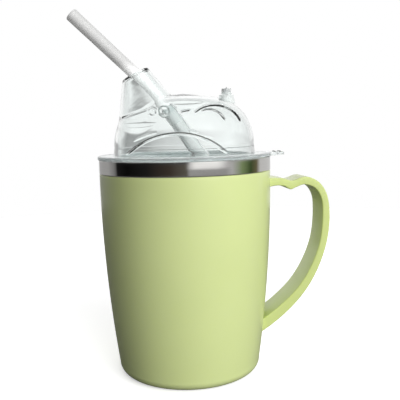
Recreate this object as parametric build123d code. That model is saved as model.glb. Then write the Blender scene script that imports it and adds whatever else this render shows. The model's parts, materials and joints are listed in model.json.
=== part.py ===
"""Lidded toddler mug with a drinking straw, modelled piece by piece in millimetres.

+Z is up and the origin is on the mug's axis, on the plane that its foot ring stands on.
+X points to the handle and to the lid's pull tab; the straw leans towards -X.
A steel cup hangs by its rim in a plastic shell, a press-in lid plate carries a clear dome,
and a silicone straw joins a dip tube inside the dome. Each piece is written to parts/NAME.step.
"""

import math
import os

from build123d import *

# ---- shell -----------------------------------------------------------------------------------
SHELL_HEIGHT = 101.8  # foot plane to the shell's top edge
SHELL_TOP_R = 42.9
SHELL_TAPER = 6.7  # how much narrower the side is where it meets the corner round
FOOT_ROUND = 5.0
SHELL_WALL = 2.2
SHELL_FLOOR = 2.4
FOOT_RING_WIDTH = 4.0
FOOT_RECESS = 1.2
SEAL_GROOVE_WIDTH = 1.3
SEAL_GROOVE_DEPTH = 1.6

# ---- steel cup -------------------------------------------------------------------------------
STEEL = 0.6
BAND_PROUD = 0.1  # how far the bright band stands out past the shell's top edge
BAND_HEIGHT = 6.8
CUP_TOP_GAP = 0.8  # air between the cup and the shell just under the band's step
CUP_FOOT_GAP = 1.6  # the same at the cup's foot
CUP_FLOOR_GAP = 2.2  # air between the cup's floor and the shell's
CUP_ROUND = 6.0
STEP_ROUND = 0.8

# ---- handle ----------------------------------------------------------------------------------
HANDLE_WIDTH = 18.0
HANDLE_ROUND = 1.3
GRIP_REACH = 30.0  # from the shell's top edge out to the handle's outer side
GRIP_SIDE = 3.9  # thickness at the waist
GRIP_STRAP = 4.0  # thickness along the top
GRIP_HUMP_REACH = 17.3  # from the shell's top edge out to the hump beyond the notch
GRIP_TOP_DROP = 4.1  # from the shell's top edge down to the hump
GRIP_WAIST_DROP = 23.3  # the same down to where the outer side is vertical
GRIP_FOOT_Z = 17.1  # where the swept outer side would reach the shell's inside
GRIP_FOOT_THICK = 5.3
NOTCH_REACH = 9.9
NOTCH_TOP_DROP = 1.9
NOTCH_FOOT_DROP = 2.3
ROOT_HUMP_REACH = 4.1
ROOT_TOP_DROP = 4.5
TENON_DROP = 0.3  # from the middle of the strap's root down to the upper tenon's middle
TENON_WIDTH = 10.0
TENON_HEIGHT = 2.4
TENON_CLEARANCE = 0.1

# ---- lid plate -------------------------------------------------------------------------------
PLATE_OVERHANG = 0.5  # past the steel band
PLATE_THICK = 1.9
PLATE_ROUND = 0.5
PLUG_GAP = 0.45  # between the plug's wall and the inside of the steel band
PLUG_WALL = 1.5
PLUG_DEPTH = 5.4
HUB_THICK = 3.3
HUB_WALL = 1.4
TAB_LENGTH = 6.9
TAB_WIDTH = 15.0
TAB_THICK = 1.5
TAB_RIB_R = 0.45

# ---- gasket ----------------------------------------------------------------------------------
GASKET_HEIGHT = 2.2
GASKET_BITE = 0.8  # how deep its groove runs into the plug
GASKET_GAP = 0.15  # free space to the steel band
GASKET_FIT = 0.05

# ---- dome ------------------------------------------------------------------------------------
DOME_WALL = 1.6
DOME_SET_IN = 8.2  # from the plate's edge in to the dome's foot
DOME_SHOULDER = (0.7, 8.5)  # inwards from the dome's foot, height above the plate's top
DOME_MIDDLE = (5.6, 21.1)
DOME_CROWN = (17.7, 28.3)
DOME_TOP = 29.8  # all heights on the dome and tower are above the plate's top
DOME_SEAT_DEPTH = 1.2  # how far the dome's foot goes down into the plate
DOME_FIT = 0.08
RELIEF = 0.7  # height or depth of the moulded outlines
OVAL_CENTRE = (12.4, 13.4)
OVAL_SIZE = (13.0, 10.0)
INNER_OVAL_CENTRE = (9.0, 14.5)
INNER_OVAL_SIZE = (7.5, 6.3)
ARCH_X = -6.2
ARCH_TOP = 10.5
ARCH_R = 32.0

# ---- tower that holds the straw ---------------------------------------------------------------
TOWER_TOP_INSET = 5.5  # from the dome's foot radius in to the top face's left end
TOWER_TOP_LOW = 37.1  # height of that end
TOWER_TOP_SPAN = (12.3, 6.2)  # from that end across and up to the right end
TOWER_TOP_HALF_WIDTH = 6.6
TOWER_FOOT = 15.5
TOWER_FOOT_INSET = 2.8
TOWER_FOOT_LENGTH = 37.4
TOWER_SIDE_INSET = 7.3  # from the dome's foot radius in to the tower's widest side
TOWER_WALL = 1.5

# ---- vent stub, its plug and two bosses ------------------------------------------------------
STUB_INSET = 13.4  # from the dome's foot radius in to the stub's axis
STUB_R = 2.4
STUB_TOP = 31.9
STUB_WAIST = 30.0
STUB_FOOT_SHIFT = 1.0
STUB_FOOT_R = 3.6
STUB_FOOT = 28.3
STUB_BORE_R = 1.2
PLUG_HEAD_R = 2.4
PLUG_HEAD = 1.1
VENT_PLUG_LENGTH = 6.0
BOSS_R = 2.3
BOSS_HEIGHT = 1.3
BOSS_DIMPLE_R = 1.1
BOSS_DIMPLE = 0.7
BOSS_PLACES = ((-16.5, 20.6), (-11.3, 20.8))

# ---- straw and dip tube ----------------------------------------------------------------------
STRAW_R = 3.1
STRAW_WALL = 1.0
STRAW_FLARE = 0.2  # how much wider the mouth end is
STRAW_LIP_ROUND = 0.8
STRAW_EXIT_SHIFT = (-0.35, 0.3)  # from the middle of the tower's top face, across and up
STRAW_EXIT_LEAN = 46.0  # degrees from vertical
STRAW_FREE_LENGTH = 39.0
STRAW_HOLE_CLEARANCE = 0.12
PIVOT_HEIGHT = 2.0  # from the tower's hole out to the bending point
FLEX_GAP = 0.3
BEND_END_LEAN = 33.0
BEND_R = 163.0
TUBE_WALL = 0.65
TUBE_SOCKET_CLEARANCE = 0.05
TUBE_SIDE_GAP = 3.5  # between the upright run and the cup's wall at its foot
TUBE_LOWER_BEND_R = 110.0
TUBE_FOOT_GAP = 3.6  # between the tube's foot and the cup's floor
TUBE_FOOT_CUT = 30.0  # degrees, so the foot can't seal on the floor
SOCKET_OVERLAP = 9.0
TUBE_TOP_SHARE = 0.62  # how far along the upper bend the dip tube starts
COLLAR_WALL = 1.0
COLLAR_LENGTH = 3.0

# ---- derived ---------------------------------------------------------------------------------
SHELL_FOOT_R = SHELL_TOP_R - SHELL_TAPER
SHELL_INNER_TOP_R = SHELL_TOP_R - SHELL_WALL
SHELL_INNER_FOOT_R = SHELL_FOOT_R - SHELL_WALL
BAND_R = SHELL_TOP_R + BAND_PROUD
CUP_TOP_R = SHELL_INNER_TOP_R - CUP_TOP_GAP
CUP_FOOT_R = SHELL_INNER_FOOT_R - CUP_FOOT_GAP
CUP_FLOOR_Z = FOOT_RECESS + SHELL_FLOOR + CUP_FLOOR_GAP
BAND_TOP_Z = SHELL_HEIGHT + BAND_HEIGHT
GRIP_OUTER_X = SHELL_TOP_R + GRIP_REACH
GRIP_INNER_X = GRIP_OUTER_X - GRIP_SIDE
GRIP_HUMP_X = SHELL_TOP_R + GRIP_HUMP_REACH
GRIP_TOP_Z = SHELL_HEIGHT - GRIP_TOP_DROP
GRIP_WAIST_Z = SHELL_HEIGHT - GRIP_WAIST_DROP
NOTCH_X = SHELL_TOP_R + NOTCH_REACH
ROOT_HUMP_X = SHELL_TOP_R + ROOT_HUMP_REACH
ROOT_TOP_Z = SHELL_HEIGHT - ROOT_TOP_DROP
PLATE_R = BAND_R + PLATE_OVERHANG
PLATE_Z = BAND_TOP_Z
PLATE_TOP_Z = PLATE_Z + PLATE_THICK
PLUG_R = BAND_R - STEEL - PLUG_GAP
GASKET_R = BAND_R - STEEL - GASKET_GAP
GASKET_Z = PLATE_Z - PLUG_DEPTH / 2
DOME_FOOT_R = PLATE_R - DOME_SET_IN
DOME_FOOT_Z = PLATE_TOP_Z - DOME_SEAT_DEPTH
DOME_TOP_Z = PLATE_TOP_Z + DOME_TOP
HUB_OUTER_R = DOME_FOOT_R + DOME_FIT + HUB_WALL
HUB_INNER_R = DOME_FOOT_R - DOME_WALL - DOME_FIT - HUB_WALL
TOWER_TOP_LEFT = (TOWER_TOP_INSET - DOME_FOOT_R, PLATE_TOP_Z + TOWER_TOP_LOW)
TOWER_TOP_RIGHT = (TOWER_TOP_LEFT[0] + TOWER_TOP_SPAN[0], TOWER_TOP_LEFT[1] + TOWER_TOP_SPAN[1])
STUB_X = DOME_FOOT_R - STUB_INSET
STUB_TOP_Z = PLATE_TOP_Z + STUB_TOP
STUB_WAIST_Z = PLATE_TOP_Z + STUB_WAIST
STUB_FOOT_Z = PLATE_TOP_Z + STUB_FOOT
STRAW_BORE_R = STRAW_R - STRAW_WALL
STRAW_TIP_R = STRAW_R + STRAW_FLARE
STRAW_EXIT = (
    TOWER_TOP_LEFT[0] + TOWER_TOP_SPAN[0] / 2 + STRAW_EXIT_SHIFT[0],
    TOWER_TOP_LEFT[1] + TOWER_TOP_SPAN[1] / 2 + STRAW_EXIT_SHIFT[1],
)
TUBE_R = STRAW_R + TUBE_SOCKET_CLEARANCE + TUBE_WALL
TUBE_X = CUP_FOOT_R - STEEL - TUBE_SIDE_GAP - TUBE_R
TUBE_FOOT_Z = CUP_FLOOR_Z + STEEL + TUBE_FOOT_GAP
COLLAR_R = TUBE_R + COLLAR_WALL


def side_arc_drop(z):
    """How far the shell's side lies inside its top radius at height z."""
    run = SHELL_HEIGHT - FOOT_ROUND
    drop = SHELL_TOP_R - SHELL_FOOT_R
    radius = (run**2 + drop**2) / (2 * drop)
    return radius - math.sqrt(radius**2 - (SHELL_HEIGHT - z) ** 2)


def spin(*edges):
    """A solid of revolution about Z from profile edges drawn in the XZ plane."""
    return revolve(make_face(Plane.XZ * Wire(edges)), Axis.Z)


def polygon_edges(points):
    """Straight edges through the points, closing back to the first."""
    return [Line(a, b) for a, b in zip(points, points[1:] + points[:1])]


def shell_outside():
    """The shell's outer form as a full solid, with its corner round."""
    mid_z = (SHELL_HEIGHT + FOOT_ROUND) / 2
    side_top = (SHELL_TOP_R, SHELL_HEIGHT)
    side_mid = (SHELL_TOP_R - side_arc_drop(mid_z), mid_z)
    side_foot = (SHELL_FOOT_R, FOOT_ROUND)
    corner = FOOT_ROUND * (1 - math.cos(math.radians(45)))
    floor_r = SHELL_FOOT_R - FOOT_ROUND
    return spin(
        Line((0, 0), (floor_r, 0)),
        ThreePointArc((floor_r, 0), (SHELL_FOOT_R - corner, corner), side_foot),
        ThreePointArc(side_foot, side_mid, side_top),
        Line(side_top, (0, SHELL_HEIGHT)),
        Line((0, SHELL_HEIGHT), (0, 0)),
    )


def shell_inside():
    """The space inside the shell's wall and floor."""
    floor_z = FOOT_RECESS + SHELL_FLOOR
    inner_round = FOOT_ROUND - SHELL_WALL
    foot_z = floor_z + inner_round
    foot_r = SHELL_INNER_FOOT_R
    mid_z = (SHELL_HEIGHT + foot_z) / 2
    mid = (SHELL_INNER_TOP_R - side_arc_drop(mid_z), mid_z)
    top = (SHELL_INNER_TOP_R, SHELL_HEIGHT)
    corner = inner_round * (1 - math.cos(math.radians(45)))
    return spin(
        Line((0, floor_z), (foot_r - inner_round, floor_z)),
        ThreePointArc(
            (foot_r - inner_round, floor_z), (foot_r - corner, floor_z + corner), (foot_r, foot_z)
        ),
        ThreePointArc((foot_r, foot_z), mid, top),
        Line(top, (0, SHELL_HEIGHT)),
        Line((0, SHELL_HEIGHT), (0, floor_z)),
    )


def ring(outer_r, inner_r, low_z, high_z):
    """A plain ring about Z."""
    height = high_z - low_z
    place = Pos(0, 0, low_z + height / 2)
    return place * (Cylinder(outer_r, height) - Cylinder(inner_r, height))


def disc(radius, low_z, high_z):
    """A plain disc about Z."""
    height = high_z - low_z
    return Pos(0, 0, low_z + height / 2) * Cylinder(radius, height)


def tenon(z, growth):
    """One of the handle's two pegs through the shell's wall, grown by a clearance."""
    reach = 2 * SHELL_WALL + 3.6
    wall_x = SHELL_TOP_R - side_arc_drop(z)
    place = Pos(wall_x, 0, z)
    return place * Box(reach, TENON_WIDTH + 2 * growth, TENON_HEIGHT + 2 * growth)


def sweep_radius(side_x, foot_z):
    """Radius of a handle side: upright at side_x on the waist, and at foot_z inside the shell."""
    run, rise = side_x - SHELL_INNER_FOOT_R, GRIP_WAIST_Z - foot_z
    return (run**2 + rise**2) / (2 * run)


def sweep_point(side_x, foot_z, x):
    """The point at x on that swept side."""
    radius = sweep_radius(side_x, foot_z)
    return (x, GRIP_WAIST_Z - math.sqrt(radius**2 - (x - side_x + radius) ** 2))


def tenon_heights():
    """Heights of the upper and the lower tenon."""
    upper = ROOT_TOP_Z - GRIP_STRAP / 2 - TENON_DROP
    wall_x = SHELL_FOOT_R + 2.0
    outer_z = sweep_point(GRIP_OUTER_X, GRIP_FOOT_Z, wall_x)[1]
    inner_z = sweep_point(GRIP_INNER_X, GRIP_FOOT_Z + GRIP_FOOT_THICK, wall_x)[1]
    return upper, (inner_z + outer_z) / 2


def make_outer_shell():
    """Plastic shell: curved side, foot ring, seal groove and two slots for the handle's tenons."""
    body = shell_outside() - shell_inside()
    body -= disc(SHELL_FOOT_R - FOOT_ROUND - FOOT_RING_WIDTH, 0, FOOT_RECESS)
    groove_r = SHELL_INNER_TOP_R + SEAL_GROOVE_WIDTH
    body -= disc(groove_r, SHELL_HEIGHT - SEAL_GROOVE_DEPTH, SHELL_HEIGHT)
    for z in tenon_heights():
        body -= tenon(z, TENON_CLEARANCE)
    return body


def make_shell_seal():
    """Silicone ring in the shell's top groove, under the steel cup's step."""
    groove_r = SHELL_INNER_TOP_R + SEAL_GROOVE_WIDTH
    low_z = SHELL_HEIGHT - SEAL_GROOVE_DEPTH
    return ring(groove_r, CUP_TOP_R + 0.05, low_z, SHELL_HEIGHT)


def cup_profile(inset):
    """Edges of the steel cup's outside, or of its inside when inset is the sheet's thickness."""
    band_r = BAND_R - inset
    wall_r = CUP_TOP_R - inset
    foot_r = CUP_FOOT_R - inset
    step_z = SHELL_HEIGHT + inset
    floor_z = CUP_FLOOR_Z + inset
    foot_round = CUP_ROUND - inset
    corner = foot_round * (1 - math.cos(math.radians(45)))
    return [
        Line((0, floor_z), (foot_r - foot_round, floor_z)),
        ThreePointArc(
            (foot_r - foot_round, floor_z),
            (foot_r - corner, floor_z + corner),
            (foot_r, floor_z + foot_round),
        ),
        Line((foot_r, floor_z + foot_round), (wall_r, step_z)),
        Line((wall_r, step_z), (band_r, step_z)),
        Line((band_r, step_z), (band_r, BAND_TOP_Z)),
        Line((band_r, BAND_TOP_Z), (0, BAND_TOP_Z)),
        Line((0, BAND_TOP_Z), (0, floor_z)),
    ]


def make_steel_cup():
    """Drawn steel cup: tapered wall, a step that sits on the shell, and the bright band above it."""
    cup = spin(*cup_profile(0)) - spin(*cup_profile(STEEL))
    lip = cup.edges().filter_by(GeomType.CIRCLE).group_by(Axis.Z)[-1]
    return fillet(lip, STEEL * 0.45)


def handle_outline():
    """Closed outline of the handle in the XZ plane, from the shell round the grip and back."""
    root_x = SHELL_INNER_FOOT_R
    hump_top = (GRIP_HUMP_X, GRIP_TOP_Z)
    outer_bend = GRIP_OUTER_X - GRIP_HUMP_X
    outer_side = (GRIP_OUTER_X, GRIP_TOP_Z - outer_bend)
    outer_waist = (GRIP_OUTER_X, GRIP_WAIST_Z)
    inner_top = (GRIP_HUMP_X, GRIP_TOP_Z - GRIP_STRAP)
    inner_bend = GRIP_INNER_X - GRIP_HUMP_X
    inner_side = (GRIP_INNER_X, inner_top[1] - inner_bend)
    inner_waist = (GRIP_INNER_X, GRIP_WAIST_Z)
    notch_top = (NOTCH_X, GRIP_TOP_Z - NOTCH_TOP_DROP)
    notch_foot = (NOTCH_X - 0.2, inner_top[1] - NOTCH_FOOT_DROP)
    root_top = (ROOT_HUMP_X, ROOT_TOP_Z)
    root_foot = (ROOT_HUMP_X, ROOT_TOP_Z - GRIP_STRAP + 0.2)
    inner_foot_z = GRIP_FOOT_Z + GRIP_FOOT_THICK
    middle_x = (GRIP_HUMP_X + root_x) / 2
    outer_mid = sweep_point(GRIP_OUTER_X, GRIP_FOOT_Z, middle_x)
    inner_mid = sweep_point(GRIP_INNER_X, inner_foot_z, middle_x)
    outer_end = (root_x, GRIP_FOOT_Z)
    inner_end = (root_x, inner_foot_z)
    return [
        Line((root_x, ROOT_TOP_Z), root_top),
        Spline(root_top, notch_top, hump_top, tangents=[(1, 0), (1, 0)]),
        TangentArc(hump_top, outer_side, tangent=(1, 0)),
        Line(outer_side, outer_waist),
        ThreePointArc(outer_waist, outer_mid, outer_end),
        Line(outer_end, inner_end),
        ThreePointArc(inner_end, inner_mid, inner_waist),
        Line(inner_waist, inner_side),
        TangentArc(inner_side, inner_top, tangent=(0, 1)),
        TangentArc(inner_top, notch_foot, tangent=(-1, 0)),
        TangentArc(root_foot, notch_foot, tangent=(1, 0)),
        Line(root_foot, (root_x, root_foot[1])),
        Line((root_x, root_foot[1]), (root_x, ROOT_TOP_Z)),
    ]


def make_handle():
    """Plastic handle with a notched top, cut to the shell's side, with its two tenons."""
    outline = make_face(Plane.XZ * Wire(handle_outline()))
    grip = extrude(outline, HANDLE_WIDTH / 2, both=True)
    sides = [e for e in grip.edges() if abs(abs(e.center().Y) - HANDLE_WIDTH / 2) < 1e-3]
    long_edges = [e for e in sides if e.center().X > SHELL_FOOT_R + 3.8]
    grip = fillet(long_edges, HANDLE_ROUND)
    grip -= shell_outside()
    for z in tenon_heights():
        peg = tenon(z, 0)
        grip += peg & (shell_outside() - shell_inside())
    return grip


def make_lid_plate():
    """Clear press-in plate: flange with a pull tab, plug wall with a gasket groove, seat for the dome."""
    plate = ring(PLATE_R, HUB_INNER_R, PLATE_Z, PLATE_TOP_Z)
    rim = [e for e in plate.edges().filter_by(GeomType.CIRCLE) if abs(e.radius - PLATE_R) < 1e-3]
    plate = fillet(rim, PLATE_ROUND)
    plate += ring(PLUG_R, PLUG_R - PLUG_WALL, PLATE_Z - PLUG_DEPTH, PLATE_TOP_Z)
    plate += ring(HUB_OUTER_R, HUB_INNER_R, PLATE_TOP_Z - HUB_THICK, PLATE_TOP_Z)
    tab_z = PLATE_TOP_Z - TAB_THICK
    root = 6.0
    tab = Pos(PLATE_R + (TAB_LENGTH - root) / 2, 0, tab_z + TAB_THICK / 2) * Box(
        TAB_LENGTH + root, TAB_WIDTH, TAB_THICK
    )
    tip_edges = [e for e in tab.edges().filter_by(Axis.Z) if e.center().X > PLATE_R]
    tab = fillet(tip_edges, TAB_WIDTH * 0.3)
    plate += tab
    for share in (0.35, 0.75):
        rib_x = PLATE_R + share * TAB_LENGTH
        rib = Pos(rib_x, 0, PLATE_TOP_Z) * Rot(90, 0, 0) * Cylinder(TAB_RIB_R, TAB_WIDTH * 0.55)
        plate += rib
    plate -= ring(
        PLUG_R, PLUG_R - GASKET_BITE, GASKET_Z - GASKET_HEIGHT / 2, GASKET_Z + GASKET_HEIGHT / 2
    )
    seat_outer = DOME_FOOT_R + DOME_FIT
    seat_inner = DOME_FOOT_R - DOME_WALL - DOME_FIT
    return plate - ring(seat_outer, seat_inner, DOME_FOOT_Z, PLATE_TOP_Z)


def make_gasket():
    """Silicone gasket in the plug's groove, with two thin lips that face the steel band."""
    half = GASKET_HEIGHT / 2 - GASKET_FIT
    root_r = PLUG_R - GASKET_BITE + GASKET_FIT
    waist_r = PLUG_R - 0.1
    points = [
        (root_r, GASKET_Z - half),
        (waist_r, GASKET_Z - half),
        (GASKET_R, GASKET_Z - half + 0.3),
        (waist_r, GASKET_Z - 0.1),
        (waist_r, GASKET_Z + 0.1),
        (GASKET_R, GASKET_Z + half - 0.3),
        (waist_r, GASKET_Z + half),
        (root_r, GASKET_Z + half),
    ]
    return spin(*polygon_edges(points))


def dome_point(place):
    """Radius and height of a place given inwards from the dome's foot and above the plate."""
    return (DOME_FOOT_R - place[0], PLATE_TOP_Z + place[1])


def shoulder_arc():
    """Centre (radius, height) and radius of the arc through the dome's shoulder, middle and crown."""
    arc = ThreePointArc(dome_point(DOME_SHOULDER), dome_point(DOME_MIDDLE), dome_point(DOME_CROWN))
    return (arc.arc_center.X, arc.arc_center.Y), arc.radius


def dome_form(inset, foot_z):
    """The dome as a full solid, inset from its outside, with its foot at foot_z."""
    centre, radius = shoulder_arc()

    def inward(place):
        r, z = dome_point(place)
        share = inset / radius
        return (r + (centre[0] - r) * share, z + (centre[1] - z) * share)

    foot_r = DOME_FOOT_R - inset
    shoulder = inward(DOME_SHOULDER)
    middle = inward(DOME_MIDDLE)
    crown = inward(DOME_CROWN)
    top = (0, DOME_TOP_Z - inset)
    return spin(
        Line((0, foot_z), (foot_r, foot_z)),
        Line((foot_r, foot_z), (foot_r, PLATE_TOP_Z)),
        Line((foot_r, PLATE_TOP_Z), shoulder),
        ThreePointArc(shoulder, middle, crown),
        TangentArc(top, crown, tangent=(1, 0)),
        Line(top, (0, foot_z)),
    )


def tower_plane():
    """The plane of the tower's slanted top face; its X runs down to the left, its normal points out."""
    left, right = TOWER_TOP_LEFT, TOWER_TOP_RIGHT
    centre = ((left[0] + right[0]) / 2, 0, (left[1] + right[1]) / 2)
    along = (right[0] - left[0], 0, right[1] - left[1])
    normal = (-along[2], 0, along[0])
    return Plane(origin=centre, x_dir=along, z_dir=normal)


def tower_form(inset, drop):
    """The tower as a full loft from a wide oval in the dome to its slanted top face."""
    top_half = math.dist(TOWER_TOP_LEFT, TOWER_TOP_RIGHT) / 2 - inset
    foot_half = TOWER_FOOT_LENGTH / 2 - inset
    foot_x = TOWER_FOOT_INSET - DOME_FOOT_R + TOWER_FOOT_LENGTH / 2
    top = tower_plane().offset(-drop) * Ellipse(top_half, TOWER_TOP_HALF_WIDTH - inset)
    foot = Plane.XY.offset(PLATE_TOP_Z + TOWER_FOOT - drop)
    foot = foot * Pos(foot_x, 0) * Ellipse(foot_half, DOME_FOOT_R - TOWER_SIDE_INSET - inset)
    return loft([foot, top])


def straight_prism(shape):
    """The shape, drawn as X and Z, run from the dome's middle out past its front (-Y)."""
    return extrude(Plane.XZ * shape, DOME_FOOT_R + 4)


def oval_relief():
    """Prisms of the two nested ovals on the dome's front shoulder."""
    base = Pos(0, PLATE_TOP_Z)
    outer = straight_prism(base * Pos(*OVAL_CENTRE) * Ellipse(*OVAL_SIZE))
    inner = straight_prism(base * Pos(*INNER_OVAL_CENTRE) * Ellipse(*INNER_OVAL_SIZE))
    return outer, inner


def arch_relief():
    """Prism of the low arch on the dome's front."""
    return straight_prism(Pos(ARCH_X, PLATE_TOP_Z + ARCH_TOP - ARCH_R) * Circle(ARCH_R))


def front_point(x, z):
    """The point on the dome's outer surface in front (-Y) of x and z, and the outward normal there."""
    centre, radius = shoulder_arc()
    r = centre[0] + math.sqrt(radius**2 - (z - centre[1]) ** 2)
    y = -math.sqrt(r**2 - x**2)
    rise = (z - centre[1]) / radius
    flat = math.sqrt(1 - rise**2)
    return Vector(x, y, z), Vector(flat * x / r, flat * y / r, rise)


def boss_plane(x, z):
    """A plane on the dome's outer surface in front of x and z, facing out."""
    point, normal = front_point(x, z)
    return Plane(origin=point, z_dir=normal)


def stub_form():
    """Vent stub on the dome's right shoulder: a foot that leans into a short upright nipple."""
    foot_x = STUB_X + STUB_FOOT_SHIFT
    foot = Plane.XY.offset(STUB_FOOT_Z) * Pos(foot_x, 0) * Circle(STUB_FOOT_R)
    waist = Plane.XY.offset(STUB_WAIST_Z) * Pos(STUB_X, 0) * Circle(STUB_R)
    below = 6.0
    root = Pos(foot_x, 0, STUB_FOOT_Z - below / 2) * Cylinder(STUB_FOOT_R, below)
    nipple_height = STUB_TOP_Z - STUB_WAIST_Z
    nipple = Pos(STUB_X, 0, STUB_WAIST_Z + nipple_height / 2) * Cylinder(STUB_R, nipple_height)
    return root + loft([foot, waist]) + nipple


def make_dome():
    """Clear dome with its straw tower, moulded outlines, two bosses and the vent stub."""
    outside = dome_form(0, DOME_FOOT_Z)
    inside = dome_form(DOME_WALL, DOME_FOOT_Z)
    tower = tower_form(0, 0)
    body = outside + tower
    outer_oval, inner_oval = oval_relief()
    raised = dome_form(-RELIEF, DOME_FOOT_Z)
    body += (raised & (outer_oval - inner_oval)) - inside
    recess = outside - dome_form(RELIEF, DOME_FOOT_Z)
    body -= recess & arch_relief() & disc(DOME_FOOT_R + 4, PLATE_TOP_Z + 0.6, DOME_TOP_Z)
    body += stub_form()
    for x, height in BOSS_PLACES:
        z = PLATE_TOP_Z + height
        boss = Cylinder(BOSS_R, 2 * BOSS_HEIGHT)
        dimple = Pos(0, 0, BOSS_HEIGHT) * Cylinder(BOSS_DIMPLE_R, 2 * BOSS_DIMPLE)
        body += boss_plane(x, z) * boss
        body -= boss_plane(x, z) * dimple
    body -= inside
    body -= tower_form(TOWER_WALL, TOWER_WALL)
    bore = STUB_TOP - DOME_CROWN[1] + 12
    body -= Pos(STUB_X, 0, STUB_TOP_Z - bore / 2) * Cylinder(STUB_BORE_R, bore)
    hole = Plane(origin=(STRAW_EXIT[0], 0, STRAW_EXIT[1]), z_dir=exit_direction())
    body -= hole * Cylinder(STRAW_R + STRAW_HOLE_CLEARANCE, 8)
    return body


def make_vent_plug():
    """Silicone vent plug: a thin stem down the stub's bore under a flat head."""
    stem_r = STUB_BORE_R - 0.05
    stem = Pos(STUB_X, 0, STUB_TOP_Z - VENT_PLUG_LENGTH / 2) * Cylinder(stem_r, VENT_PLUG_LENGTH)
    head = Pos(STUB_X, 0, STUB_TOP_Z + PLUG_HEAD / 2) * Cylinder(PLUG_HEAD_R, PLUG_HEAD)
    return stem + fillet(head.edges().group_by(Axis.Z)[-1], 0.3)


def exit_direction():
    """Unit vector along the straw where it leaves the tower, pointing out."""
    lean = math.radians(STRAW_EXIT_LEAN)
    return Vector(-math.sin(lean), 0, math.cos(lean))


def down_direction(lean_degrees):
    """Local (x, z) direction that points down and towards +X at this lean from vertical."""
    lean = math.radians(lean_degrees)
    return (math.sin(lean), -math.cos(lean))


def upper_bend():
    """Centreline inside the tower and dome, from the exit to where the tube runs straight."""
    turn = BEND_END_LEAN - STRAW_EXIT_LEAN
    return JernArc(STRAW_EXIT, down_direction(STRAW_EXIT_LEAN), BEND_R, turn)


def tube_path():
    """Centreline of the whole straw below the exit: upper bend, straight run, lower bend, foot.

    The lower bend rounds the corner between the straight run and the upright run at TUBE_X, and
    it is no longer than the straight run allows.
    """
    bend = upper_bend()
    lean = math.radians(BEND_END_LEAN)
    run = (TUBE_X - (bend @ 1).X) / math.sin(lean)
    half_turn = math.tan(lean / 2)
    radius = min(TUBE_LOWER_BEND_R, 0.9 * run / half_turn)
    straight_end = bend @ 1 + Vector(*down_direction(BEND_END_LEAN)) * (run - radius * half_turn)
    straight = Line(bend @ 1, straight_end)
    lower = JernArc(straight_end, straight % 1, radius, -BEND_END_LEAN)
    foot = Line(lower @ 1, ((lower @ 1).X, TUBE_FOOT_Z))
    return bend, straight, lower, foot


def pipe(path_edges, outer_r, inner_r):
    """A pipe along edges drawn in the XZ plane."""
    path = Plane.XZ * Wire(path_edges)
    start = Plane(origin=path @ 0, z_dir=path % 0)
    section = start * (Circle(outer_r) - Circle(inner_r))
    return sweep(section, path=path)


def make_dip_tube():
    """Dip tube: socket round the straw's lower end, through the dome and down the cup, cut foot."""
    bend, straight, lower, foot = tube_path()
    upper = bend.trim(TUBE_TOP_SHARE, 1)
    tube = pipe([upper, straight, lower, foot], TUBE_R, STRAW_R + TUBE_SOCKET_CLEARANCE)
    foot_x = (lower @ 1).X
    cutter = Pos(foot_x, 0, TUBE_FOOT_Z) * Rot(0, TUBE_FOOT_CUT, 0) * Pos(0, 0, -10) * Box(30, 30, 20)
    return tube - cutter


def make_tube_collar():
    """Ring that grips the dip tube's top end."""
    bend = upper_bend()
    seat = bend.trim(TUBE_TOP_SHARE, TUBE_TOP_SHARE + COLLAR_LENGTH / bend.length)
    return pipe([seat], COLLAR_R, TUBE_R)


def pivot_point():
    """Where the straw's free end bends: a little outside the tower's hole."""
    return Vector(STRAW_EXIT[0], 0, STRAW_EXIT[1]) + exit_direction() * PIVOT_HEIGHT


def make_straw_stem():
    """Straw inside the tower, hollowed under the tip's ball, and down into the dip tube."""
    bend = upper_bend()
    end = TUBE_TOP_SHARE + SOCKET_OVERLAP / bend.length
    stem = pipe([bend.trim(0, end)], STRAW_R, STRAW_BORE_R)
    return stem - Pos(*pivot_point()) * Sphere(STRAW_R + FLEX_GAP)


def make_straw_tip():
    """Free end of the straw: a ball at the bending point, then a slow taper out to the mouth."""
    ball_low = (STRAW_BORE_R, -math.sqrt(STRAW_R**2 - STRAW_BORE_R**2))
    ball_side = (STRAW_R, 0)
    rim_side = (STRAW_TIP_R, STRAW_FREE_LENGTH - STRAW_LIP_ROUND)
    rim_top = (STRAW_TIP_R - STRAW_LIP_ROUND, STRAW_FREE_LENGTH)
    bore_top = (STRAW_BORE_R, STRAW_FREE_LENGTH)
    body = spin(
        TangentArc(ball_side, ball_low, tangent=(0, -1)),
        Line(ball_side, rim_side),
        TangentArc(rim_side, rim_top, tangent=(0, 1)),
        Line(rim_top, bore_top),
        Line(bore_top, ball_low),
    )
    return Plane(origin=pivot_point(), z_dir=exit_direction()) * body


PIECES = {
    "outer_shell": make_outer_shell,
    "handle": make_handle,
    "shell_seal": make_shell_seal,
    "steel_cup": make_steel_cup,
    "lid_plate": make_lid_plate,
    "lid_gasket": make_gasket,
    "lid_dome": make_dome,
    "vent_plug": make_vent_plug,
    "straw_tip": make_straw_tip,
    "straw_stem": make_straw_stem,
    "tube_collar": make_tube_collar,
    "dip_tube": make_dip_tube,
}


def main():
    os.makedirs("parts", exist_ok=True)
    for name, make in PIECES.items():
        export_step(make(), f"parts/{name}.step")


main()
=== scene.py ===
"""Looks of the lidded straw mug: camera, studio, materials and a finished mesh for every piece.

Lengths in this script are in millimetres and turned into metres as each mesh is made. The frame
is the part's own: +Z up, +X towards the handle, -Y towards the viewer.
"""

import json
import math

import bmesh
import bpy
import numpy as np
from mathutils import Matrix, Vector


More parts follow.
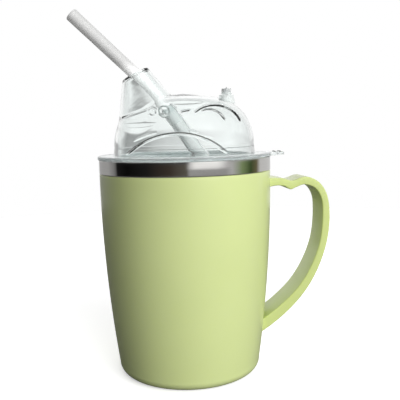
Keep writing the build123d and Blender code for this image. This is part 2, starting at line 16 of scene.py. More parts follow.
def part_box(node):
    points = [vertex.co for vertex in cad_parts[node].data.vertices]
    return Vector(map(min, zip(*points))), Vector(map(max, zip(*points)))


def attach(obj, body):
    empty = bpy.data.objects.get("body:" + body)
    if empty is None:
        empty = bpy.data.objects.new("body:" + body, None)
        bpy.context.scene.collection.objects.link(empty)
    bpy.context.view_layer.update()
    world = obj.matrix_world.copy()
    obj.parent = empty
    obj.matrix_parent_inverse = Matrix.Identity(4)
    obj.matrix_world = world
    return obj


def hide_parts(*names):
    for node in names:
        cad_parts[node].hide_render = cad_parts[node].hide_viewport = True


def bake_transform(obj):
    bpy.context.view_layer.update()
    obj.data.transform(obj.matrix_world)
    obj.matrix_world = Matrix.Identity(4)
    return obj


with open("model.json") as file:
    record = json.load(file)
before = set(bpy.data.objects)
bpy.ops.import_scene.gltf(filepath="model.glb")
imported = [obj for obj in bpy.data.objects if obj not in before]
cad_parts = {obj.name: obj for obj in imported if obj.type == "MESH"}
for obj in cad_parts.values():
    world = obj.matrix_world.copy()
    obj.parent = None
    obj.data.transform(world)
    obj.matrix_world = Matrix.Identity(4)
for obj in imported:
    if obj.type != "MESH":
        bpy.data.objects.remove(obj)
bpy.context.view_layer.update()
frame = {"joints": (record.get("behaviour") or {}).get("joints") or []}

MM = 0.001
TURN = 2 * math.pi


def node_mm(node):
    """Lowest and highest corner of a CAD node, in millimetres."""
    low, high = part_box(node)
    return low / MM, high / MM


# ---- sizes shared by several pieces, read from the CAD model ----------------------------------
SHELL_TOP = node_mm("outer_shell")[1].z
SHELL_R = node_mm("outer_shell")[1].x
CUP_FLOOR = node_mm("steel_cup")[0].z
BAND_TOP = node_mm("steel_cup")[1].z
BAND_R = node_mm("steel_cup")[1].x
PLATE_R = node_mm("lid_plate")[1].y
TAB_REACH = node_mm("lid_plate")[1].x
PLUG_FOOT = node_mm("lid_plate")[0].z
DOME_FOOT = node_mm("lid_dome")[0].z
DOME_FOOT_R = -node_mm("lid_dome")[0].y
GRIP_HALF = node_mm("handle")[1].y
TUBE_FOOT = node_mm("dip_tube")[0].z
PLATE_TOP = BAND_TOP + 1.9
STEEL_SHEET = 0.6
PIVOT = Vector(frame["joints"][1]["pos_m"]) / MM
STRAW_LEAN = math.radians(46.0)
STRAW_OUT = Vector((-math.sin(STRAW_LEAN), 0, math.cos(STRAW_LEAN)))
EXIT_TO_PIVOT = 2.0
STRAW_EXIT = PIVOT - EXIT_TO_PIVOT * STRAW_OUT
STRAW_LENGTH = 39.0
STRAW_R = 3.1
STRAW_TIP_R = 3.28
STRAW_WALL = 1.0


# ---- camera ----------------------------------------------------------------------------------
def make_camera():
    """A camera a little above the rim, rolled slightly, close to the mug."""
    yaw, pitch, roll = math.radians(6.35), math.radians(6.78), math.radians(-1.35)
    ahead = Vector(
        (math.sin(yaw) * math.cos(pitch), math.cos(yaw) * math.cos(pitch), -math.sin(pitch))
    )
    side = Vector((math.cos(yaw), -math.sin(yaw), 0))
    rise = side.cross(ahead)
    right = side * math.cos(roll) + rise * math.sin(roll)
    up = rise * math.cos(roll) - side * math.sin(roll)
    data = bpy.data.cameras.new("camera")
    data.lens = 54.55
    data.sensor_width = 36.0
    data.clip_start = 0.01
    camera = bpy.data.objects.new("camera", data)
    turn = Matrix((right, up, -ahead)).transposed().to_4x4()
    camera.matrix_world = Matrix.Translation(Vector((-26.8, -306.1, 123.3)) * MM) @ turn
    bpy.context.scene.collection.objects.link(camera)
    bpy.context.scene.camera = camera


# ---- mesh helpers ----------------------------------------------------------------------------
def add_mesh(name, points, faces, sharp=40.0):
    """A mesh object from points in millimetres, smooth but for edges sharper than the angle."""
    mesh = bpy.data.meshes.new(name)
    mesh.from_pydata([tuple(p) for p in np.asarray(points, float) * MM], [], faces)
    mesh.validate()
    mesh.shade_smooth()
    mesh.set_sharp_from_angle(angle=math.radians(sharp))
    obj = bpy.data.objects.new(name, mesh)
    bpy.context.scene.collection.objects.link(obj)
    return obj


def soften(corners, steps=6):
    """A closed outline from (x, y, round) corners, each round drawn as a short arc."""
    outline = []
    count = len(corners)
    for i, (x, y, radius) in enumerate(corners):
        here = np.array((x, y), float)
        before = np.array(corners[i - 1][:2], float) - here
        after = np.array(corners[(i + 1) % count][:2], float) - here
        if radius <= 0:
            outline.append(tuple(here))
            continue
        before, after = before / np.linalg.norm(before), after / np.linalg.norm(after)
        half = math.acos(max(-1.0, min(1.0, float(before @ after)))) / 2
        cut = radius / math.tan(half)
        middle = before + after
        centre = here + middle / np.linalg.norm(middle) * radius / math.sin(half)
        start, end = here + before * cut - centre, here + after * cut - centre
        turn = math.copysign(math.pi - 2 * half, start[0] * end[1] - start[1] * end[0])
        for k in range(steps + 1):
            a = turn * k / steps
            spun = (
                start[0] * math.cos(a) - start[1] * math.sin(a),
                start[0] * math.sin(a) + start[1] * math.cos(a),
            )
            outline.append((centre[0] + spun[0], centre[1] + spun[1]))
    return outline


def grid_faces(rows, columns, wrap_rows=False):
    """Quads over a rows by columns grid of points whose columns run right round."""
    faces = []
    for i in range(rows if wrap_rows else rows - 1):
        for j in range(columns):
            a, b = i * columns + j, i * columns + (j + 1) % columns
            c, d = ((i + 1) % rows) * columns + (j + 1) % columns, ((i + 1) % rows) * columns + j
            faces.append((a, b, c, d))
    return faces


def lathe(name, outline, segments=256, closed=True, reach=None):
    """Turns an outline of (radius, height) about Z. A point at radius 0 becomes one pole point.
    reach(angle, radius, height) may give a changed (x, y, z) for some points."""
    angles = np.arange(segments) * TURN / segments
    points, rings = [], []
    for r, z in outline:
        if abs(r) < 1e-6:
            rings.append([len(points)])
            points.append((0, 0, z))
            continue
        rings.append(list(range(len(points), len(points) + segments)))
        for a in angles:
            place = (r * math.cos(a), r * math.sin(a), z)
            points.append(reach(a, r, z) if reach else place)
    faces = []
    pairs = list(zip(rings, rings[1:]))
    if closed:
        pairs.append((rings[-1], rings[0]))
    for low, high in pairs:
        if len(low) == 1 and len(high) == 1:
            continue
        for j in range(segments):
            k = (j + 1) % segments
            if len(low) == 1:
                faces.append((low[0], high[k], high[j]))
            elif len(high) == 1:
                faces.append((low[j], low[k], high[0]))
            else:
                faces.append((low[j], low[k], high[k], high[j]))
    return add_mesh(name, points, faces)


def place_on(obj, origin, direction):
    """Turns a mesh made about Z so that its Z runs along direction from origin, in millimetres."""
    turn = Vector(direction).to_track_quat("Z", "Y").to_matrix().to_4x4()
    obj.data.transform(Matrix.Translation(Vector(origin) * MM) @ turn)
    return obj


def face_out(obj):
    """Makes every face of a closed mesh point outwards."""
    work = bmesh.new()
    work.from_mesh(obj.data)
    bmesh.ops.recalc_face_normals(work, faces=work.faces)
    work.to_mesh(obj.data)
    work.free()
    return obj


def tube(name, centres, outer, inner, segments=48):
    """A pipe through centre points, with an outer and an inner radius at each, and closed ends."""
    centres = [Vector(c) for c in centres]
    rows = []
    for radii, order in ((outer, 1), (inner, -1)):
        for i in list(range(len(centres)))[::order]:
            ahead = centres[min(i + 1, len(centres) - 1)] - centres[max(i - 1, 0)]
            ahead.normalize()
            across = Vector((0, 1, 0))
            over = ahead.cross(across)
            ring = []
            for j in range(segments):
                a = TURN * j / segments
                ring.append(centres[i] + (across * math.cos(a) + over * math.sin(a)) * radii[i])
            rows.extend(ring)
    faces = grid_faces(2 * len(centres), segments, wrap_rows=True)
    return face_out(add_mesh(name, rows, faces, sharp=50))


# ---- shader helpers --------------------------------------------------------------------------
def new_material(name):
    material = bpy.data.materials.new(name)
    material.use_nodes = True
    material.node_tree.nodes.clear()
    return material


class Nodes:
    """Short calls for building one node tree."""

    def __init__(self, tree):
        self.tree = tree

    def add(self, kind, inputs=None, **settings):
        node = self.tree.nodes.new(kind)
        for key, value in settings.items():
            setattr(node, key, value)
        for key, value in (inputs or {}).items():
            if hasattr(value, "is_output") or isinstance(value, bpy.types.NodeSocket):
                self.tree.links.new(value, node.inputs[key])
            else:
                node.inputs[key].default_value = value
        return node

    def math(self, operation, a, b=0.0):
        return self.add("ShaderNodeMath", {0: a, 1: b}, operation=operation).outputs[0]

    def ramp(self, factor, stops, smooth=True):
        node = self.add("ShaderNodeValToRGB", {"Fac": factor})
        band = node.color_ramp
        band.interpolation = "EASE" if smooth else "LINEAR"
        while len(band.elements) < len(stops):
            band.elements.new(0.5)
        for element, (place, colour) in zip(band.elements, stops):
            element.position = place
            element.color = (*colour, 1) if not isinstance(colour, float) else (colour,) * 3 + (1,)
        return node.outputs[0]

    def mix_colours(self, share, a, b, blend_type="MIX"):
        return self.add(
            "ShaderNodeMix", {0: share, 6: a, 7: b}, data_type="RGBA", blend_type=blend_type
        ).outputs[2]

    def noise(self, vector, scale, detail=3.0, roughness=0.5):
        return self.add(
            "ShaderNodeTexNoise",
            {"Vector": vector, "Scale": scale, "Detail": detail, "Roughness": roughness},
        ).outputs["Fac"]

    def object_place(self):
        return self.add("ShaderNodeTexCoord").outputs["Object"]

    def bump(self, height, strength, distance):
        return self.add(
            "ShaderNodeBump", {"Height": height, "Strength": strength, "Distance": distance}
        ).outputs[0]


def gloss_plastic(name, light, dark):
    """Moulded gloss plastic with a faint flow pattern and a soft orange-peel surface."""
    material = new_material(name)
    n = Nodes(material.node_tree)
    place = n.object_place()
    cloud = n.noise(place, 28.0)
    colour = n.ramp(cloud, ((0.3, dark), (0.7, light)))
    rough = n.add(
        "ShaderNodeMapRange",
        {0: n.noise(place, 220.0), 1: 0.3, 2: 0.7, 3: 0.36, 4: 0.44},
    ).outputs[0]
    peel = n.bump(n.noise(place, 900.0, 2.0), 0.05, 0.0004)
    shader = n.add(
        "ShaderNodeBsdfPrincipled",
        {
            "Base Color": colour,
            "Roughness": rough,
            "IOR": 1.5,
            "Subsurface Weight": 0.12,
            "Subsurface Radius": (1.0, 1.0, 0.4),
            "Subsurface Scale": 0.002,
            "Coat Weight": 0.5,
            "Coat Roughness": 0.12,
            "Normal": peel,
        },
    )
    out = n.add("ShaderNodeOutputMaterial")
    n.tree.links.new(shader.outputs[0], out.inputs[0])
    return material


def polished_steel():
    """Bright drawn steel with fine turning lines round the axis."""
    material = new_material("polished_steel")
    n = Nodes(material.node_tree)
    place = n.object_place()
    split = n.add("ShaderNodeSeparateXYZ", {0: place})
    lines = n.noise(
        n.add("ShaderNodeCombineXYZ", {0: 0.0, 1: 0.0, 2: split.outputs[2]}).outputs[0], 5200.0, 2.0
    )
    smudge = n.noise(place, 60.0, 4.0)
    rough = n.add("ShaderNodeMapRange", {0: smudge, 1: 0.3, 2: 0.7, 3: 0.05, 4: 0.1}).outputs[0]
    colour = n.ramp(lines, ((0.3, (0.60, 0.59, 0.57)), (0.7, (0.72, 0.71, 0.69))))
    shader = n.add(
        "ShaderNodeBsdfPrincipled",
        {
            "Base Color": colour,
            "Metallic": 1.0,
            "Roughness": rough,
            "Normal": n.bump(lines, 0.04, 0.0001),
        },
    )
    out = n.add("ShaderNodeOutputMaterial")
    n.tree.links.new(shader.outputs[0], out.inputs[0])
    return material


def clear_plastic(
    name, tint, roughness, shade, milk=0.0, milk_colour=(0.9, 0.9, 0.9), skin=False
):
    """Clear or milky plastic. Light passes it for shadows in the shade colour, so what is inside
    stays lit. A skin doesn't bend the light and has a silicone's sheen; low down it is painted
    whiter, painted light that makes up for the shade of the dome's walls on what lies inside it."""
    material = new_material(name)
    n = Nodes(material.node_tree)
    place = n.object_place()
    flow = n.noise(place, 90.0, 3.0)
    rough = n.add(
        "ShaderNodeMapRange", {0: flow, 1: 0.3, 2: 0.7, 3: roughness * 0.7, 4: roughness * 1.3}
    ).outputs[0]
    wave = n.bump(n.noise(place, 130.0, 2.0), 0.03, 0.0006)
    glass = n.add(
        "ShaderNodeBsdfPrincipled",
        {
            "Base Color": (*tint, 1),
            "Roughness": rough,
            "IOR": 1.49,
            "Transmission Weight": 1.0,
            "Normal": wave,
        },
    ).outputs[0]
    if milk > 0:
        body_colour = (*milk_colour, 1)
        if skin:
            # painted light: whiter below the tower's mouth, where the dome's walls shade the part
            # inside
            ruler, painted_light_below, plain_above = 0.2, 0.755, 0.785
            height = n.add("ShaderNodeSeparateXYZ", {0: n.object_place()}).outputs[2]
            share = n.math("DIVIDE", height, ruler)
            stops = ((painted_light_below, (0.93, 0.93, 0.925)), (plain_above, milk_colour))
            body_colour = n.ramp(share, stops)
        soft = n.add(
            "ShaderNodeBsdfPrincipled",
            {
                "Base Color": body_colour,
                "Roughness": 0.35,
                "IOR": 1.42,
                "Subsurface Weight": 0.0 if skin else 0.2,
                "Subsurface Radius": (1.0, 1.0, 1.0),
                "Subsurface Scale": 0.001,
                "Sheen Weight": 0.8 if skin else 0.0,
                "Sheen Roughness": 0.45,
            },
        ).outputs[0]
        if skin:
            glass = n.add("ShaderNodeBsdfTransparent", {0: (*tint, 1)}).outputs[0]
        glass = n.add("ShaderNodeMixShader", {0: milk, 1: glass, 2: soft}).outputs[0]
    shadow = n.add("ShaderNodeBsdfTransparent", {0: (*shade, 1)}).outputs[0]
    path = n.add("ShaderNodeLightPath").outputs["Is Shadow Ray"]
    mix = n.add("ShaderNodeMixShader", {0: path, 1: glass, 2: shadow}).outputs[0]
    out = n.add("ShaderNodeOutputMaterial")
    n.tree.links.new(mix, out.inputs[0])
    return material


def dress(obj, material, body, slot_name, *stands_for):
    """Gives a piece its material, CAD body and the CAD nodes that it replaces. Its slot name is not
    used.
    """
    obj.data.materials.clear()
    obj.data.materials.append(material)
    if body:
        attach(obj, body)
    if stands_for:
        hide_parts(*stands_for)
    return obj


# ---- mug -------------------------------------------------------------------------------------
def side_radius(z):
    """Outer radius of the shell at height z: one large arc, upright at the top."""
    foot_r, foot_z = 36.2, 5.0
    run, drop = SHELL_TOP - foot_z, SHELL_R - foot_r
    big = (run**2 + drop**2) / (2 * drop)
    return SHELL_R - big + math.sqrt(big**2 - (SHELL_TOP - z) ** 2)


def make_shell(material):
    """Green shell: curved side with a soft top edge, corner round, foot ring and inner wall."""
    foot_round, wall = 5.0, 2.2
    outline = [(0, 1.2), (26.8, 1.2), (27.1, 1.1), (27.3, 0.3), (27.7, 0.02), (31.0, 0.0)]
    for k in range(1, 15):
        a = math.pi / 2 * k / 15
        outline.append((31.2 + foot_round * math.sin(a), foot_round * (1 - math.cos(a))))
    heights = np.linspace(foot_round, SHELL_TOP - 0.5, 48)
    outline += [(side_radius(z), z) for z in heights]
    for k in range(1, 7):
        a = math.pi / 2 * k / 6
        outline.append((SHELL_R - 0.5 * (1 - math.cos(a)), SHELL_TOP - 0.5 * (1 - math.sin(a))))
    inner = SHELL_R - wall
    outline += [(inner + 1.3, SHELL_TOP), (inner + 1.3, SHELL_TOP - 1.6), (inner, SHELL_TOP - 1.6)]
    outline += [(side_radius(z) - wall, z) for z in heights[::-6] if z < SHELL_TOP - 3]
    outline += [(31.0, 3.62), (0, 3.6)]
    obj = face_out(lathe("shell", outline, 320, closed=False))
    return dress(obj, material, "mug", "shell_plastic", "outer_shell")


def make_seal(material):
    """Silicone ring between the shell's top edge and the steel cup's step."""
    inner, outer = node_mm("steel_cup")[1].x - 3.05, SHELL_R - 0.92
    corners = [
        (inner, SHELL_TOP - 1.58, 0.2),
        (outer, SHELL_TOP - 1.58, 0.2),
        (outer, SHELL_TOP - 0.02, 0.2),
        (inner, SHELL_TOP - 0.02, 0.2),
    ]
    obj = face_out(lathe("seal", soften(corners, 4), 256))
    return dress(obj, material, "mug", "seal_silicone", "shell_seal")


def make_cup(material):
    """Steel cup: floor, tapered wall, the step and the bright band with its rolled lip."""
    wall_r, foot_r, turn = 39.9, 32.4, 6.0
    outside = [
        (0, CUP_FLOOR, 0),
        (foot_r, CUP_FLOOR, turn),
        (wall_r, SHELL_TOP, 0.5),
        (BAND_R, SHELL_TOP, 0.5),
        (BAND_R, BAND_TOP, 0.25),
        (BAND_R - STEEL_SHEET, BAND_TOP, 0.25),
        (BAND_R - STEEL_SHEET, SHELL_TOP + STEEL_SHEET, 0.5),
        (wall_r - STEEL_SHEET, SHELL_TOP + STEEL_SHEET, 0.5),
        (foot_r - STEEL_SHEET, CUP_FLOOR + STEEL_SHEET, turn - STEEL_SHEET),
        (0, CUP_FLOOR + STEEL_SHEET, 0),
    ]
    obj = face_out(lathe("steel_liner", soften(outside, 8), 320, closed=False))
    return dress(obj, material, "mug", "steel", "steel_cup")


def smooth_through(points, count):
    """Evenly spaced points on a smooth curve through the given ones."""
    p = np.array(points, float)
    legs = np.maximum(np.linalg.norm(np.diff(p, axis=0), axis=1), 1e-9) ** 0.5
    knots = np.concatenate([[0], np.cumsum(legs)])
    slopes = np.zeros_like(p)
    for i in range(1, len(p) - 1):
        left = (p[i] - p[i - 1]) / legs[i - 1]
        right = (p[i + 1] - p[i]) / legs[i]
        slopes[i] = (left * legs[i] + right * legs[i - 1]) / (legs[i] + legs[i - 1])
    slopes[0] = 2 * (p[1] - p[0]) / legs[0] - slopes[1]
    slopes[-1] = 2 * (p[-1] - p[-2]) / legs[-1] - slopes[-2]
    fine = []
    for i, leg in enumerate(legs):
        for k in range(40):
            t = k / 40
            h00, h10 = 2 * t**3 - 3 * t**2 + 1, t**3 - 2 * t**2 + t
            h01, h11 = -2 * t**3 + 3 * t**2, t**3 - t**2
            spot = h00 * p[i] + h10 * leg * slopes[i] + h01 * p[i + 1] + h11 * leg * slopes[i + 1]
            fine.append(spot)
    fine.append(p[-1])
    fine = np.array(fine)
    along = np.concatenate([[0], np.cumsum(np.linalg.norm(np.diff(fine, axis=0), axis=1))])
    even = np.linspace(0, along[-1], count)
    return np.stack([np.interp(even, along, fine[:, k]) for k in range(2)], axis=1)


def make_handle(material):
    """Flat-strip handle with a notched top; its section is a rounded rectangle."""
    outer = [(41.2, 97.4), (47.0, 97.3), (50.2, 96.7), (52.7, 95.9), (55.0, 96.3), (60.2, 97.7)]
    outer += [(66.6, 95.2), (71.0, 89.4), (72.85, 78.5), (71.3, 63.6), (66.0, 48.7)]
    outer += [(59.1, 37.5), (50.1, 28.0), (40.0, 20.2), (35.3, 17.4)]
    inner = [(41.2, 92.9), (46.2, 93.6), (49.6, 93.0), (52.5, 91.4), (55.2, 92.4), (59.8, 93.7)]
    inner += [(65.3, 91.5), (68.4, 86.4), (69.05, 78.0), (67.5, 63.6), (62.5, 50.6)]
    inner += [(56.0, 40.7), (47.5, 32.4), (39.5, 26.3), (36.0, 23.9)]
    count, corner = 220, 0.6
    over, under = smooth_through(outer, count), smooth_through(inner, count)
    points = []
    for a, b in zip(over, under):
        thick = float(np.linalg.norm(a - b))
        middle, up = (a + b) / 2, (a - b) / thick
        r = min(corner, thick * 0.42)
        corners = [
            (GRIP_HALF, thick / 2, r),
            (-GRIP_HALF, thick / 2, r),
            (-GRIP_HALF, -thick / 2, r),
            (GRIP_HALF, -thick / 2, r),
        ]
        for y, h in soften(corners, 7):
            spot = middle + up * h
            points.append((spot[0], y, spot[1]))
    section = len(points) // count
    faces = grid_faces(count, section)
    faces.append(tuple(range(section)))
    faces.append(tuple(range((count - 1) * section, count * section))[::-1])
    obj = face_out(add_mesh("grip", points, faces))
    return dress(obj, material, "mug", "handle_plastic", "handle")


# ---- lid -------------------------------------------------------------------------------------
def tab_edge(angle):
    """How far the flange reaches at an angle: its own radius, or out to the pull tab's outline."""
    half, round_r = 7.5, 4.0
    c, s = math.cos(angle), math.sin(angle)
    if c <= 0 or abs(s) * PLATE_R > half:
        return PLATE_R
    best = PLATE_R
    for k in range(64):
        r = PLATE_R + (TAB_REACH - PLATE_R) * k / 63
        x, y = r * c, abs(r * s)
        dx, dy = max(x - (TAB_REACH - round_r), 0), max(y - (half - round_r), 0)
        if math.hypot(dx, dy) <= round_r:
            best = r
    return best


def make_plate(material):
    """Clear lid plate: flange with its pull tab, plug wall with the gasket's groove, dome seat."""
    base, top = BAND_TOP, PLATE_TOP
    plug = BAND_R - STEEL_SHEET - 0.45
    groove_low, groove_high = BAND_TOP - 3.8, BAND_TOP - 1.6
    seat_out, seat_in = DOME_FOOT_R + 0.08, DOME_FOOT_R - 1.68
    hub_out, hub_in = seat_out + 1.4, seat_in - 1.4
    corners = [
        (PLATE_R, base, 0.6),
        (PLATE_R, top, 0.6),
        (seat_out, top, 0.12),
        (seat_out, DOME_FOOT, 0.1),
        (seat_in, DOME_FOOT, 0.1),
        (seat_in, top, 0.12),
        (hub_in, top, 0.3),
        (hub_in, top - 3.3, 0.3),
        (hub_out, top - 3.3, 0.3),
        (hub_out, base, 0.3),
        (plug - 1.5, base, 0.3),
        (plug - 1.5, PLUG_FOOT, 0.4),
        (plug, PLUG_FOOT, 0.4),
        (plug, groove_low, 0.1),
        (plug - 0.8, groove_low, 0.1),
        (plug - 0.8, groove_high, 0.1),
        (plug, groove_high, 0.1),
        (plug, base, 0.15),
    ]
    edges = {}

    def reach(angle, r, z):
        if r > PLATE_R - 0.7:
            if angle not in edges:
                edges[angle] = tab_edge(angle)
            share = (edges[angle] - PLATE_R) / (TAB_REACH - PLATE_R)
            r += edges[angle] - PLATE_R
            z = max(z, base + 0.4 * min(1.0, 3 * share)) if z < base + 0.9 else z
        return (r * math.cos(angle), r * math.sin(angle), z)

    obj = face_out(lathe("lid_flange", soften(corners, 5), 720, reach=reach))
    return dress(obj, material, "lid", "clear_plastic", "lid_plate")


def make_tab_ribs(material):
    """Two grip ribs across the pull tab, each a slim ellipsoid half sunk into it.
    Their dark grey is painted shade, standing in for the dark edges that light gives the tab's
    clear ribs.
    """
    rib_r, rib_half = 0.45, 4.1
    outline = []
    for k in range(13):
        a = math.pi * k / 12
        outline.append((rib_r * math.sin(a), rib_half * math.cos(a)))
    for i, x in enumerate((46.0, 48.8)):
        obj = face_out(lathe(f"tab_rib_{i + 1}", outline, 24, closed=False))
        place_on(obj, (x, 0, PLATE_TOP), (0, 1, 0))
        dress(obj, material, "lid", "clear_plastic")


def make_gasket(material):
    """Silicone gasket with two lips, in the plug's groove."""
    middle = BAND_TOP - 2.7
    root, waist, lip = 41.2, 41.85, BAND_R - STEEL_SHEET - 0.15
    corners = [
        (root, middle - 1.05, 0.1),
        (waist, middle - 1.05, 0.1),
        (lip, middle - 0.75, 0.08),
        (waist, middle - 0.1, 0.1),
        (waist, middle + 0.1, 0.1),
        (lip, middle + 0.75, 0.08),
        (waist, middle + 1.05, 0.1),
        (root, middle + 1.05, 0.1),
    ]
    obj = face_out(lathe("gasket", soften(corners, 3), 256))
    return dress(obj, material, "lid", "seal_silicone", "lid_gasket")


# ---- dome ------------------------------------------------------------------------------------
DOME_WALL = 1.6
TOWER_LEFT = np.array((-29.8, 147.6))  # the two ends (x, z) of the tower's slanted top
TOWER_RIGHT = np.array((-17.5, 153.8))
DOME_EYE = np.array((-8.0, 0.0, 112.0))  # a place inside, from which every wall point is in view
STUB_X = 21.9


def dome_distance(x, y, z):
    """Roughly how far a point lies outside the plain dome: a squarish round on a drafted side."""
    core, crown_z, size, power = 10.1, 114.0, 24.9, 2.25
    r = np.hypot(x, y)
    dr, dz = np.maximum(r - core, 0), np.maximum(z - crown_z, 0)
    arch = size * ((dr / size) ** power + (dz / size) ** power) ** (1 / power) - size
    side = r - (DOME_FOOT_R - 0.07 * (z - PLATE_TOP).clip(0))
    lift = 1.4 * (1 - (r / core).clip(0, 1) ** 2)
    roof = z - (crown_z + size + lift)
    return np.where(z < crown_z, side, np.where(r < core, roof, arch))


def tower_distance(x, y, z):
    """Roughly how far a point lies outside the straw tower: an oval that narrows upwards."""
    low, high = 126.0, 150.7
    foot_left, foot_right, foot_deep, top_deep, least = -32.5, 4.9, 28.0, 6.6, 2.0
    rise = np.maximum(z - low, 0)
    t = rise / (high - low)
    left = foot_left + (TOWER_LEFT[0] - foot_left) * rise / (TOWER_LEFT[1] - low)
    right = foot_right + (TOWER_RIGHT[0] - foot_right) * rise / (TOWER_RIGHT[1] - low)
    middle, half = (left + right) / 2, (right - left) / 2
    deep = foot_deep + (top_deep - foot_deep) * t
    half, deep = np.maximum(half, least), np.maximum(deep, least)
    side = (np.hypot((x - middle) / half, y / deep) - 1) * np.minimum(half, deep) * 0.9
    along = TOWER_RIGHT - TOWER_LEFT
    normal = np.array((-along[1], along[0])) / np.linalg.norm(along)
    top = (x - TOWER_LEFT[0]) * normal[0] + (z - TOWER_LEFT[1]) * normal[1]
    return blend_max(side, top, 1.0)


def blend_max(a, b, k):
    """The larger of two fields, rounded over k where they meet."""
    h = (0.5 + 0.5 * (a - b) / k).clip(0, 1)
    return b + (a - b) * h + k * h * (1 - h)


def blend_min(a, b, k):
    """The smaller of two fields, rounded in the same way."""
    return -blend_max(-a, -b, k)


def ring_ridge(x, z, centre, size, start, end, wide):
    """Height, 0 to 1, of a rounded ridge along part of an oval drawn on the dome's front."""
    u, v = (x - centre[0]) / size[0], (z - centre[1]) / size[1]
    turn = np.degrees(np.arctan2(v, u))
    reach = (np.hypot(u, v) - 1) * np.hypot(size[0] * np.cos(np.radians(turn)),
                                            size[1] * np.sin(np.radians(turn)))
    middle, half = (start + end) / 2, (end - start) / 2
    fade = ((half - np.abs((turn - middle + 180) % 360 - 180)) / 6.0).clip(0, 1)
    return np.exp(-((reach / wide) ** 2)) * fade


def line_ridge(x, z, start, end, wide):
    """A smooth ridge along a straight line between two places."""
    run = (end[0] - start[0], end[1] - start[1])
    length2 = run[0] ** 2 + run[1] ** 2
    share = (((x - start[0]) * run[0] + (z - start[1]) * run[1]) / length2).clip(0, 1)
    away = np.hypot(x - start[0] - share * run[0], z - start[1] - share * run[1])
    return np.exp(-((away / wide) ** 2))


ARCH_CENTRE, ARCH_R = (-6.2, 89.0), 32.0
# height, centre, half sizes, first and last degree, half width
CURVED_RIDGES = (
    (0.8, ARCH_CENTRE, (ARCH_R, ARCH_R), 40, 140, 0.4),  # the wide arch
    (0.15, (-9.2, 89.3), (33.0, 33.0), 100, 121, 0.5),  # a faint second line beside it
    (0.8, (12.4, 123.9), (13.0, 10.0), 12, 142, 0.4),  # the long line at the right
    (0.6, (9.0, 125.5), (7.5, 6.3), 8, 118, 0.34),  # the short line under it
    (0.6, (1.5, 122.0), (13.0, 9.6), 92, 118, 0.38),  # the dash at its left
    (0.12, (14.0, 133.0), (22.0, 14.0), 228, 262, 0.6),  # the faint line below
)
STEP_LINE = (-0.27, (-29.8, 129.0), (-17.7, 132.8), 0.5)
BOSSES = ((-16.5, 131.1), (-11.3, 131.3))


def relief(x, y, z):
    """Height of the moulded outlines on the dome's front."""
    front = (-(y + 6.0) / 4.0).clip(0, 1) * ((z - PLATE_TOP - 1.0) / 1.5).clip(0, 1)
    arch_depth = (ARCH_R - np.hypot(x - ARCH_CENTRE[0], z - ARCH_CENTRE[1])).clip(-1, 1)
    height = -0.12 * (0.5 + 0.5 * arch_depth)
    for rise, *ridge in CURVED_RIDGES:
        height = height + rise * ring_ridge(x, z, *ridge)
    rise, *line = STEP_LINE
    height = height + rise * line_ridge(x, z, *line)
    for boss in BOSSES:
        height = height + 0.17 * ring_ridge(x, z, boss, (1.9, 1.9), -190, 190, 0.5)
    return height * front


def dome_field(points, inset):
    """Above zero outside the dome's outer face, or outside its inner face when inset is a wall."""
    x, y, z = points[..., 0], points[..., 1], points[..., 2]
    whole = blend_min(dome_distance(x, y, z), tower_distance(x, y, z), 0.9 if inset == 0 else 1.6)
    if inset == 0:
        return whole - relief(x, y, z)
    return whole + inset


def ray_hits(directions, inset):
    """Where rays from the dome's middle leave its outer or inner surface, by bisection."""
    near = np.full(directions.shape[:-1], 4.0)
    far = np.full(directions.shape[:-1], 75.0)
    for _ in range(26):
        middle = (near + far) / 2
        outside = dome_field(DOME_EYE + directions * middle[..., None], inset) > 0
        far = np.where(outside, middle, far)
        near = np.where(outside, near, middle)
    return DOME_EYE + directions * near[..., None]


def polar_edge(points, axes, angles):
    """Polar angle about the pole at each azimuth, for a closed loop of points round it."""
    away = np.asarray(points) - DOME_EYE
    away = away / np.linalg.norm(away, axis=1)[:, None]
    u, v, w = away @ axes[0], away @ axes[1], away @ axes[2]
    azimuth, polar = np.arctan2(v, u) % TURN, np.arccos(w.clip(-1, 1))
    order = np.argsort(azimuth)
    azimuth, polar = azimuth[order], polar[order]
    azimuth = np.concatenate([azimuth - TURN, azimuth, azimuth + TURN])
    return np.interp(angles, azimuth, np.tile(polar, 3))


def mouth_loop(depth, radius, count=720):
    """The straw hole's edge on the tower's slanted top, or on its inner face at a depth."""
    along = TOWER_RIGHT - TOWER_LEFT
    normal = np.array((-along[1], 0, along[0])) / np.linalg.norm(along)
    face = np.array((TOWER_LEFT[0], 0, TOWER_LEFT[1])) - normal * depth
    axis = np.array(STRAW_OUT)
    across, over = np.array((0, 1, 0)), np.cross(axis, (0, 1, 0))
    turn = np.arange(count) * TURN / count
    loop = np.array(STRAW_EXIT) + radius * (
        np.cos(turn)[:, None] * across + np.sin(turn)[:, None] * over
    )
    lift = ((face - loop) @ normal) / (axis @ normal)
    return loop + lift[:, None] * axis


def dome_surface(inset, columns, rows):
    """Grid of points from the straw hole's edge down to the dome's foot."""
    foot_points, hole_gap = 2880, 0.12
    pole = np.array(STRAW_EXIT) - DOME_EYE
    pole = pole / np.linalg.norm(pole)
    first = np.array((0.0, 1.0, 0.0))
    axes = (first, np.cross(pole, first), pole)
    angles = np.arange(columns) * TURN / columns
    start = polar_edge(mouth_loop(inset, STRAW_R + hole_gap), axes, angles)
    turn = np.arange(foot_points) * TURN / foot_points
    foot_r = DOME_FOOT_R - inset
    level = np.full(foot_points, DOME_FOOT)
    foot = np.stack([foot_r * np.cos(turn), foot_r * np.sin(turn), level], 1)
    end = polar_edge(foot, axes, angles)
    share = np.linspace(0, 1, rows)[:, None]
    polar = start + (end - start) * share
    directions = (
        np.sin(polar)[..., None]
        * (np.cos(angles)[:, None] * axes[0] + np.sin(angles)[:, None] * axes[1])
        + np.cos(polar)[..., None] * axes[2]
    )
    return ray_hits(directions, inset)


